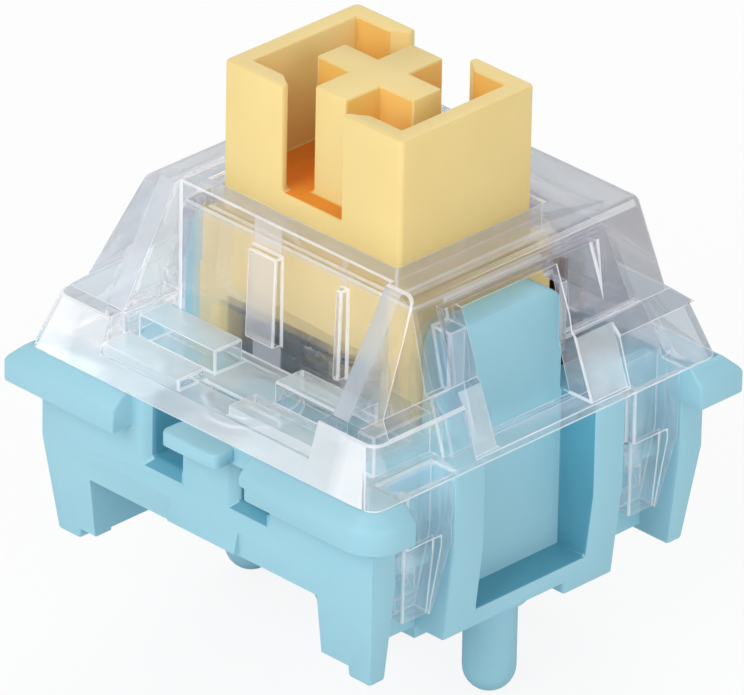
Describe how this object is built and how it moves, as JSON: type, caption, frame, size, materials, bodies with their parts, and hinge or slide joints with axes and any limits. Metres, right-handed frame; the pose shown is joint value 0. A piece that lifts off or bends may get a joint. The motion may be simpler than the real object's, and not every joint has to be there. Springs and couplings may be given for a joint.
{
  "type": "mechanical keyboard switch",
  "caption": "Plate-mounted mechanical keyboard switch with a blue base, a clear clip-on top, a sprung yellow stem with a keycap cross, and two solder pins.",
  "frame": {"origin": "centre-post axis at the face that seats on the circuit board", "axes": "+Z towards the keycap, -Y towards the lamp recess, X along the line of the two fixing pins"},
  "size_m": [0.0156, 0.0156, 0.0187],
  "materials": {
    "blue_plastic": "satin",
    "clear_plastic": "clear",
    "yellow_plastic": "satin",
    "spring_steel": "bright",
    "contact_bronze": "satin",
    "gold_contact": "bright"
  },
  "bodies": {
    "housing": {"bottom_housing": "blue_plastic", "top_housing": "clear_plastic", "return_spring": "spring_steel", "fixed_terminal": "contact_bronze", "fixed_contact_point": "gold_contact", "moving_terminal": "contact_bronze"},
    "stem": {"stem": "yellow_plastic"},
    "leaf": {"contact_leaf": "contact_bronze", "moving_contact_point": "gold_contact"}
  },
  "joints": [
    {"name": "stem_press", "type": "slide", "parent": "housing", "child": "stem", "axis": [0, 0, -1], "range_m": [0, 0.004], "stiffness_N_per_m": 75, "springref_m": -0.0039, "deforming": ["return_spring"]},
    {"name": "leaf_flex", "type": "hinge", "parent": "housing", "child": "leaf", "pos_m": [0, 0.00432, 0.00153], "axis": [1, 0, 0], "range_deg": [0, 3.02]}
  ],
  "couplings": [
    {"joint": "leaf_flex", "follows": "stem_press", "rad_per_m": 13.08}
  ]
}
